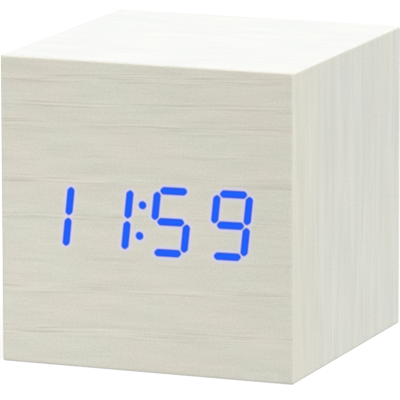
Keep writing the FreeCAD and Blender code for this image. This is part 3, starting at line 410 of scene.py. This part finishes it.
def makeFilmSheet():
    shapes = litShapes()
    flat = halfSide - filmSheet["edgeRadius"]
    loops = [squareLoop(flat - filmSheet["margin"], filmSheet["innerCorner"])]
    for core, rounding, outline in shapes:
        for level in figures["levels"]:
            reach = rounding + level
            loops.append(inset(outline, -level) if reach <= 0
                         else roundLoop(core, reach, figures["roundSteps"]))
    points, edges = [], []
    for loop in loops:
        first = len(points)
        points += loop
        edges += [(first + k, first + (k + 1) % len(loop)) for k in range(len(loop))]
    flatPoints, _, faces, _, _, _ = geometry.delaunay_2d_cdt(points, edges, [], 0,
                                                             filmSheet["tolerance"])
    mesh = bmesh.new()
    verts = [mesh.verts.new(sheetPoint(point)) for point in flatPoints]
    values = [min(figures["far"], min(distanceTo(core, point) - rounding
                                      for core, rounding, _ in shapes)) for point in flatPoints]
    for face in faces:
        mesh.faces.new([verts[k] for k in face])
    rim = {v for e in mesh.edges if e.is_boundary for v in e.verts}
    ring = [min(rim, key=lambda v: (v.co - sheetPoint(target)).length) for target in loops[0]]
    for half, depth, radius in edgeSteps(flat):
        outer = [mesh.verts.new(sheetPoint(p, depth)) for p in squareLoop(half, radius)]
        values += [figures["far"]] * len(outer)
        for k in range(len(outer)):
            after = (k + 1) % len(outer)
            mesh.faces.new((ring[k], ring[after], outer[after], outer[k]))
        ring = outer
    mesh.faces.new(list(reversed(ring)))
    bmesh.ops.recalc_face_normals(mesh, faces=mesh.faces)
    data = bpy.data.meshes.new("frontFilmSheet")
    mesh.to_mesh(data)
    mesh.free()
    data.attributes.new("barDistance", "FLOAT", "POINT").data.foreach_set("value", values)
    data.polygons.foreach_set("use_smooth", [True] * len(data.polygons))
    return placeInScene("frontFilmSheet", data)


def litFilm(name):  # light through matt foil: an even blue with a soft edge and a thin pale halo
    material, tree, place = startMaterial(name)
    film, relief = filmGrain(tree, place, False, frontGrain)
    away = addNode(tree, "Attribute", attribute_name="barDistance").outputs["Fac"]
    fade, dim, halo = [addNode(tree, "MapRange", {
        "Value": away, "From Min": span[0], "From Max": span[1], "To Min": low, "To Max": high},
        interpolation_type="SMOOTHSTEP") for span, low, high in (
            (figures["edge"], 0.0, 1.0), (figures["rim"], 1.0, figures["rimLight"]),
            (figures["haloReach"], 1.0, 0.0))]
    fade = addNode(tree, "Math", {0: fade, 1: fade}, operation="MULTIPLY")
    lit = addNode(tree, "Math", {0: 1.0, 1: fade}, operation="SUBTRACT")
    glow = addNode(tree, "Math", {0: lit, 1: dim}, operation="MULTIPLY")
    pale = addNode(tree, "Mix", {0: halo, 6: film, 7: figures["halo"]}, data_type="RGBA")
    colour = addNode(tree, "Mix", {0: lit, 6: pale, 7: figures["unlit"]}, data_type="RGBA")
    finishFilm(tree, colour, filmLook["roughness"], relief,
               {"Emission Color": figures["blue"], "Emission Strength": glow})
    return material


filmPiece = makeFilmSheet()
filmPiece.data.materials.append(litFilm("litMattFilm"))
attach(filmPiece, "case")
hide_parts("front_film", "lit_segments")
print("front film:", len(filmPiece.data.vertices), "vertices")


mouldedLook = {"cloud": 12, "span": (0.3, 0.7)}  # mm of the gloss's patches, and the noise's run


def mouldedPlastic(name, look):  # injection moulded: the tool's fine specks, and an uneven gloss
    look = {**mouldedLook, **look}
    material, tree, place = startMaterial(name)
    fine = addNode(tree, "Mapping", {"Vector": place, "Scale": [1 / (look["grit"] * mm)] * 3})
    specks = addNode(tree, "TexVoronoi", {"Vector": fine, "Scale": 1.0}, feature="SMOOTH_F1")
    cloud = mottle(tree, place, look["cloud"], detail=4.0)
    shade = addNode(tree, "Math", {0: specks, 1: cloud}, operation="MULTIPLY")
    colour = addNode(tree, "Mix", {0: shade, 6: look["base"], 7: look["light"]}, data_type="RGBA")
    finishSurface(tree, look, colour, cloud, height=specks, more={"IOR": look["ior"]})
    return material


# ABS cover, moulded in a spark-eroded tool: a dark matt skin that glints in specks
coverLook = {"base": "#17171A", "light": "#2A2A2E", "grit": 0.22, "depth": 0.03, "bump": 0.55,
             "roughness": (0.48, 0.62), "ior": 1.53}
dress(mouldedPlastic("sparkTexturedAbs", coverLook), "rear_cover", "battery_door")
# POM keys, moulded and tumbled: smoother and a little glossier than the cover round them
keyLook = {"base": "#131316", "light": "#222226", "grit": 0.12, "depth": 0.008, "bump": 0.35,
           "roughness": (0.28, 0.4), "ior": 1.48}
dress(mouldedPlastic("satinPom", keyLook), "set_key", "up_key", "down_key", "talk_key",
      "switch_knob")
# White ABS reflector, moulded in a polished tool: bright walls that throw the light forward
reflectorLook = {"base": "#F0F0EC", "light": "#DDDDD6", "grit": 0.5, "depth": 0.01, "bump": 0.3,
                 "roughness": (0.3, 0.42), "ior": 1.53}
dress(mouldedPlastic("whiteReflectorAbs", reflectorLook), "segment_block")
# Nylon header, moulded: slightly yellow, waxy
headerLook = {"base": "#E6E1D2", "light": "#D2CBB8", "grit": 0.3, "depth": 0.01, "bump": 0.3,
              "roughness": (0.38, 0.5), "ior": 1.53}
dress(mouldedPlastic("creamNylon", headerLook), "display_header", "main_header")
# PBT plungers: brown-black, dull
plungerLook = {"base": "#2B2320", "light": "#3B302B", "grit": 0.15, "depth": 0.008, "bump": 0.3,
               "roughness": (0.42, 0.55), "ior": 1.52}
dress(mouldedPlastic("dullPbt", plungerLook), "set_plunger", "up_plunger", "down_plunger",
      "talk_plunger")
print("mouldings dressed")


platedLook = {"stain": 2.5, "fineness": 0.65, "span": (0.3, 0.7), "bump": 0.25}  # stain in mm


def platedMetal(name, look):  # drawn or pressed, then plated: bright, with lines along its making
    look = {**platedLook, **look}
    material, tree, place = startMaterial(name)
    scratch = mottle(tree, place, look["stretch"], Roughness=look["fineness"])
    stain = mottle(tree, place, look["stain"], detail=4.0)
    colour = addNode(tree, "Mix", {0: stain, 6: look["base"], 7: look["dull"]}, data_type="RGBA")
    finishSurface(tree, look, colour, scratch, more={"Metallic": 1.0})
    return material


# Zinc-plated steel screws: bluish bright with turning marks
screwLook = {"base": "#C9CCD1", "dull": "#A4A7AC", "stretch": (0.15, 0.8, 0.15), "depth": 0.006,
             "roughness": (0.25, 0.42)}
dress(platedMetal("zincPlatedSteel", screwLook), "cover_screws", "display_screws", "board_screws")
# Nickel-plated shell, folded from strip: warm bright, drawn lines along Y
socketLook = {"base": "#D2CFC9", "dull": "#B4B0A8", "stretch": (0.08, 2.0, 0.08), "depth": 0.004,
              "roughness": (0.18, 0.34)}
dress(platedMetal("nickelPlatedStrip", socketLook), "usb_shell", "switch_body", "battery_contacts")
# Pressed steel frame of the speaker, passivated: grey with a yellow cast
basketLook = {"base": "#A9A79C", "dull": "#8B897F", "stretch": (0.5, 0.5, 0.5), "depth": 0.006,
              "roughness": (0.34, 0.5)}
dress(platedMetal("passivatedSteel", basketLook), "speaker_frame")
# Magnet can, nickel over a neodymium slug: mirror-like with fine handling scratches
magnetLook = {"base": "#BFBEBB", "dull": "#A2A19E", "stretch": (0.4, 0.1, 0.4), "depth": 0.003,
              "roughness": (0.12, 0.28)}
dress(platedMetal("nickelPlatedMagnet", magnetLook), "speaker_magnet")
# Crystal can, deep-drawn and tinned: lines along its length
crystalLook = {"base": "#D8D8D6", "dull": "#BDBDBA", "stretch": (0.1, 0.1, 1.5), "depth": 0.003,
               "roughness": (0.15, 0.3)}
dress(platedMetal("drawnTinnedCan", crystalLook), "clock_crystal")
print("metals dressed")


def chipPackage(name, look):  # moulded epoxy with tinned feet next to the board
    material, tree, place = startMaterial(name)
    axes = addNode(tree, "SeparateXYZ", {"Vector": place}).outputs
    away = addNode(tree, "Math", {0: axes["Y"], 1: look["boardFace"] * mm}, operation="SUBTRACT")
    away = addNode(tree, "Math", {0: away}, operation="ABSOLUTE")
    foot = addNode(tree, "Math", {0: away, 1: look["feet"] * mm}, operation="LESS_THAN")
    specks = mottle(tree, place, look["grit"])
    resin = addNode(tree, "Mix", {0: specks, 6: look["base"], 7: look["light"]}, data_type="RGBA")
    colour = addNode(tree, "Mix", {0: foot, 6: resin, 7: look["tin"]}, data_type="RGBA")
    finishSurface(tree, look, colour, specks, more={"Metallic": foot})
    return material


# Epoxy chips: charcoal with a sandy matt skin, and solder-bright feet on the board's face, whose
# place is given in mm along Y
chipLook = {"base": "#18181A", "light": "#2C2C2F", "tin": "#CFCFCC", "grit": 0.1, "depth": 0.006,
            "feet": 0.2, "roughness": (0.35, 0.6), "bump": 0.35}
dress(chipPackage("sandyEpoxyFrontOfBoard", {**chipLook, "boardFace": 20.4}),
      "clock_chip", "voice_chip")
dress(chipPackage("sandyEpoxyDriver", {**chipLook, "boardFace": -20.8}), "driver_chip")
dress(chipPackage("switchBaseUnderSteelTop", {**chipLook, "boardFace": 25.0, "feet": 0.35}),
      "tact_switches")


def circuitBoard(name, look):  # glass epoxy under green mask: tracks show as lighter runs in it
    material, tree, place = startMaterial(name)
    axes = addNode(tree, "SeparateXYZ", {"Vector": place}).outputs
    flat = addNode(tree, "CombineXYZ", {"X": axes["X"], "Y": axes["Z"]})
    flat = addNode(tree, "Mapping", {"Vector": flat, "Scale": [1 / (look["track"] * mm)] * 3})
    cells = addNode(tree, "TexVoronoi", {"Vector": flat, "Scale": look["cells"],
                                         "Randomness": look["disorder"]},
                    distance="CHEBYCHEV", feature="F1")
    tracks = addNode(tree, "Math", {0: cells, 1: look["tracks"]}, operation="MULTIPLY")
    tracks = addNode(tree, "Math", {0: tracks}, operation="FRACT")
    tracks = addNode(tree, "MapRange", {"Value": tracks, "From Min": look["trackEdge"][0],
                                        "From Max": look["trackEdge"][1]})
    weave = addNode(tree, "TexNoise", {"Vector": flat, "Scale": look["weave"], "Detail": 4.0})
    mask = addNode(tree, "Mix", {0: tracks, 6: look["base"], 7: look["trackOver"]},
                   data_type="RGBA")
    colour = addNode(tree, "Mix", {0: weave, 6: mask, 7: look["dark"]}, data_type="RGBA")
    finishSurface(tree, look, colour, weave, height=tracks)
    return material


boardLook = {"base": "#1D6A3A", "trackOver": "#2C8A4E", "dark": "#124A28", "track": 0.4,
             "cells": 0.28, "disorder": 0.55, "tracks": 4.0, "trackEdge": (0.45, 0.55),
             "weave": 2.0, "roughness": (0.22, 0.38), "bump": 0.4, "depth": 0.02}
dress(circuitBoard("greenSolderMask", boardLook), "display_board", "main_board")
print("boards and chips dressed")


def castMilkyEpoxy(name, look):
    material, tree, place = startMaterial(name)
    cloud = mottle(tree, place, look["cloud"])
    colour = addNode(tree, "Mix", {0: cloud, 6: look["base"], 7: look["deep"]}, data_type="RGBA")
    finishSurface(tree, look, colour, cloud, more={"Subsurface Weight": look["scatter"],
                                                   "Subsurface Scale": look["scatterDepth"] * mm})
    return material


# Epoxy in the bar mouths: cast with scatterer, milky
milkyLook = {"base": "#E9ECF2", "deep": "#D5DAE6", "roughness": 0.35, "cloud": 0.8, "bump": 0.2,
             "depth": 0.01, "scatter": 0.3, "scatterDepth": 0.5}
dress(castMilkyEpoxy("castMilkyEpoxy", milkyLook), "segment_diffusers")
# LED bodies: clear resin over white ceramic, faintly blue
ledLook = {**milkyLook, "base": "#E8F0FA", "deep": "#C9D8F0", "roughness": 0.18}
dress(castMilkyEpoxy("clearResinOnCeramic", ledLook), "segment_leds")


softLook = {"roughness": (0.32, 0.55), "bump": 0.3, "depth": 0.02}


def softCover(name, look):  # extruded soft PVC: satin, with faint lines along the pull
    look = {**softLook, **look}
    material, tree, place = startMaterial(name)
    lines = mottle(tree, place, look["stretch"])
    colour = addNode(tree, "Mix", {0: lines, 6: look["base"], 7: look["light"]}, data_type="RGBA")
    if "edge" in look:  # the first conductor of a ribbon is marked
        axes = addNode(tree, "SeparateXYZ", {"Vector": place}).outputs
        edge = addNode(tree, "Math", {0: axes["X"], 1: look["edge"] * mm}, operation="LESS_THAN")
        colour = addNode(tree, "Mix", {0: edge, 6: colour, 7: look["mark"]}, data_type="RGBA")
    finishSurface(tree, look, colour, lines)
    return material


redLook = {"base": "#A81812", "light": "#C02A20", "stretch": (0.4, 0.4, 0.4)}
dress(softCover("redPvc", redLook), "battery_lead_red", "speaker_leads")
blackLook = {"base": "#141415", "light": "#262628", "stretch": (0.4, 0.4, 0.4)}
dress(softCover("blackPvc", blackLook), "battery_lead_black")
ribbonLook = {"base": "#9C9DA0", "light": "#B0B1B4", "stretch": (0.3, 3.0, 3.0), "edge": -3.53,
              "mark": "#B02A22"}
dress(softCover("greyRibbonPvc", ribbonLook), "ribbon_cable")


def sleevedCell(name, look):  # drawn steel can in a plain shrink sleeve: metal ends, a glossy wrap
    material, tree, place = startMaterial(name)
    axes = addNode(tree, "SeparateXYZ", {"Vector": place}).outputs
    reach = addNode(tree, "Math", {0: axes["X"]}, operation="ABSOLUTE")
    past = addNode(tree, "Math", {0: reach, 1: look["sleeveEnd"] * mm}, operation="GREATER_THAN")
    facing = addNode(tree, "SeparateXYZ", {"Vector": addNode(tree, "TexCoord").outputs["Normal"]})
    facing = addNode(tree, "Math", {0: facing}, operation="ABSOLUTE")
    facing = addNode(tree, "Math", {0: facing, 1: look["endFacing"]}, operation="GREATER_THAN")
    metal = addNode(tree, "Math", {0: past, 1: facing}, operation="MAXIMUM")
    lines = mottle(tree, place, look["stretch"])
    sleeve = addNode(tree, "Mix", {0: lines, 6: look["base"], 7: look["light"]}, data_type="RGBA")
    colour = addNode(tree, "Mix", {0: metal, 6: sleeve, 7: look["can"]}, data_type="RGBA")
    finishSurface(tree, look, colour, lines, more={"Metallic": metal})
    return material


cellLook = {"base": "#2E5872", "light": "#35627D", "can": "#C8C6C0", "sleeveEnd": 22.9,
            "endFacing": 0.75, "stretch": (3.0, 0.3, 0.3), "roughness": (0.2, 0.34), "bump": 0.2,
            "depth": 0.02}
dress(sleevedCell("shrinkSleevedCan", cellLook), "battery_1", "battery_2", "battery_3")


def sleevedCapacitor(name, look):  # can in a dark sleeve with a pale stripe, its bare top in front
    material, tree, place = startMaterial(name)
    axes = addNode(tree, "SeparateXYZ", {"Vector": place}).outputs
    top = addNode(tree, "Math", {0: axes["Y"], 1: look["top"] * mm}, operation="LESS_THAN")
    stripe = addNode(tree, "Math", {0: axes["X"], 1: look["stripe"] * mm},
                     operation="GREATER_THAN")
    cloud = mottle(tree, place, look["cloud"])
    sleeve = addNode(tree, "Mix", {0: cloud, 6: look["base"], 7: look["light"]}, data_type="RGBA")
    sleeve = addNode(tree, "Mix", {0: stripe, 6: sleeve, 7: look["pale"]}, data_type="RGBA")
    colour = addNode(tree, "Mix", {0: top, 6: sleeve, 7: look["can"]}, data_type="RGBA")
    finishSurface(tree, look, colour, cloud, more={"Metallic": top})
    return material


capacitorLook = {"base": "#1A2038", "light": "#262D4A", "pale": "#B9BCC4", "can": "#D4D4D2",
                 "top": 15.55, "stripe": 0.2, "cloud": 0.6, "roughness": (0.24, 0.4), "bump": 0.2,
                 "depth": 0.02}
dress(sleevedCapacitor("sleevedAluminiumCan", capacitorLook), "buffer_capacitor")


def formedFilm(name, look):  # thermoformed PET cone: smoky, glossy, with rings pressed into it
    material, tree, place = startMaterial(name)
    centred = addNode(tree, "Mapping", {"Vector": place, "Location": [-c for c in look["middle"]],
                                        "Scale": (1 / mm, 0, 1 / mm)})
    radius = addNode(tree, "VectorMath", {0: centred}, operation="LENGTH")
    rings = addNode(tree, "Math", {0: radius, 1: 2 * math.pi / look["ring"]}, operation="MULTIPLY")
    rings = addNode(tree, "Math", {0: rings}, operation="SINE")
    shade = addNode(tree, "MapRange", {"Value": rings, "From Min": -1.0})
    colour = addNode(tree, "Mix", {0: shade, 6: look["base"], 7: look["light"]}, data_type="RGBA")
    finishSurface(tree, look, colour, shade)
    return material


coneLook = {"base": "#3A3A3C", "light": "#58585B", "middle": (14.1, 0, 48.4), "ring": 0.8,
            "roughness": (0.25, 0.4), "bump": 0.4, "depth": 0.05}
dress(formedFilm("smokyFormedPet", coneLook), "speaker_cone")


def contactTongue(name, look):  # black LCP with gold-flashed contacts on its underside
    material, tree, place = startMaterial(name)
    axes = addNode(tree, "SeparateXYZ", {"Vector": place}).outputs
    gold = addNode(tree, "Math", {0: axes["Z"], 1: look["underside"] * mm}, operation="LESS_THAN")
    grain = mottle(tree, place, look["grit"])
    body = addNode(tree, "Mix", {0: grain, 6: look["base"], 7: look["light"]}, data_type="RGBA")
    colour = addNode(tree, "Mix", {0: gold, 6: body, 7: look["gold"]}, data_type="RGBA")
    finishSurface(tree, look, colour, grain, more={"Metallic": gold})
    return material


tongueLook = {"base": "#121213", "light": "#202022", "gold": "#D8B45A", "underside": 44.745,
              "grit": 0.1, "roughness": (0.3, 0.5)}
dress(contactTongue("blackLcpWithGold", tongueLook), "usb_tongue")
print("small parts dressed")

# Studio: even white surroundings, one large soft lamp from the upper right, and a weak one that
# stands near, low on the left of the front, so that the front fades a little towards its upper
# right. The pale floor gives back a mostly even light, as a light table does. It and the
# surroundings look white to the camera. Places and sizes are in metres, the angle in degrees.
studio = {
    "surround": 0.7, "floorHalf": 4.0, "floorDrop": 0.02 * mm, "floorCells": 8,
    "floorTone": "#4E4E4E", "floorGlow": 0.595, "seenTone": "#7C7C7C", "seenGlow": 0.8,
    "lamp": 2.289, "lampAngle": 40.0, "lampFrom": (0.338, -0.151, 0.929),
    "nearLamp": 0.0116, "nearLampAt": (-0.03, -0.1, 0.004), "nearLampSize": (0.1, 0.03),
    "nearLampAim": (0, 0, 0.03),
}


def backgroundRays(tree):  # 1 where the camera, a reflection or glass looks at a background
    path = addNode(tree, "LightPath").outputs
    seen = addNode(tree, "Math", {0: path["Is Camera Ray"], 1: path["Is Glossy Ray"]})
    return addNode(tree, "Math", {0: seen, 1: path["Is Transmission Ray"]}, use_clamp=True)


def makeFloor():
    mesh = bmesh.new()
    cells = studio["floorCells"]
    bmesh.ops.create_grid(mesh, x_segments=cells, y_segments=cells, size=studio["floorHalf"])
    data = bpy.data.meshes.new("studioFloor")
    mesh.to_mesh(data)
    mesh.free()
    floor = placeInScene("studioFloor", data)
    floor.location.z = -studio["floorDrop"]
    material = bpy.data.materials.new("paleFloor")
    tree = emptyTree(material)
    looks = []
    for tone, strength in ((studio["floorTone"], studio["floorGlow"]),
                           (studio["seenTone"], studio["seenGlow"])):
        matt = addNode(tree, "BsdfDiffuse", {"Color": tone})
        glow = addNode(tree, "Emission", {"Strength": strength})
        looks.append(addNode(tree, "AddShader", {0: matt, 1: glow}))
    endMaterial(tree, addNode(tree, "MixShader", {0: backgroundRays(tree), 1: looks[0],
                                                  2: looks[1]}))
    data.materials.append(material)


def makeWorld():
    world = bpy.data.worlds.new("studioSurround")
    tree = emptyTree(world)
    soft, white = [addNode(tree, "Background", {"Color": "#FFFFFF", "Strength": strength})
                   for strength in (studio["surround"], 1.0)]
    both = addNode(tree, "MixShader", {0: backgroundRays(tree), 1: soft, 2: white})
    addNode(tree, "OutputWorld", {"Surface": both})
    bpy.context.scene.world = world


def makeLamps():
    lamp = bpy.data.lights.new("softLamp", "SUN")
    lamp.energy = studio["lamp"]
    lamp.angle = math.radians(studio["lampAngle"])
    holder = placeInScene("softLamp", lamp)
    holder.rotation_euler = Vector(studio["lampFrom"]).to_track_quat("Z", "Y").to_euler()
    near = bpy.data.lights.new("nearLamp", "AREA")
    near.energy, near.shape = studio["nearLamp"], "RECTANGLE"
    near.size, near.size_y = studio["nearLampSize"]
    stand = placeInScene("nearLamp", near)
    stand.location = studio["nearLampAt"]
    back = stand.location - Vector(studio["nearLampAim"])
    stand.rotation_euler = back.to_track_quat("Z", "Y").to_euler()
    stand.visible_camera = False


viewpoint = {
    "azimuth": 21.582, "elevation": 10.948, "roll": -0.124,  # degrees
    "lens": 504.028, "sensor": 36, "spot": (394.384, -998.954, 236.03),  # mm
    "clip": (0.05, 50),  # metres
}


def makeCamera():
    data = bpy.data.cameras.new("camera")
    data.lens, data.sensor_width = viewpoint["lens"], viewpoint["sensor"]
    data.clip_start, data.clip_end = viewpoint["clip"]
    camera = placeInScene("camera", data)
    azimuth, elevation, roll = [math.radians(viewpoint[turn])
                                for turn in ("azimuth", "elevation", "roll")]
    level = math.cos(elevation)
    ahead = Vector((-math.sin(azimuth) * level, math.cos(azimuth) * level, -math.sin(elevation)))
    turn = ahead.to_track_quat("-Z", "Y").to_matrix() @ Matrix.Rotation(roll, 3, "Z")
    camera.rotation_euler = turn.to_euler()
    camera.location = [c * mm for c in viewpoint["spot"]]
    bpy.context.scene.camera = camera


makeFloor()
makeWorld()
makeLamps()
makeCamera()
bpy.context.scene.view_settings.view_transform = "Standard"
print("studio ready")
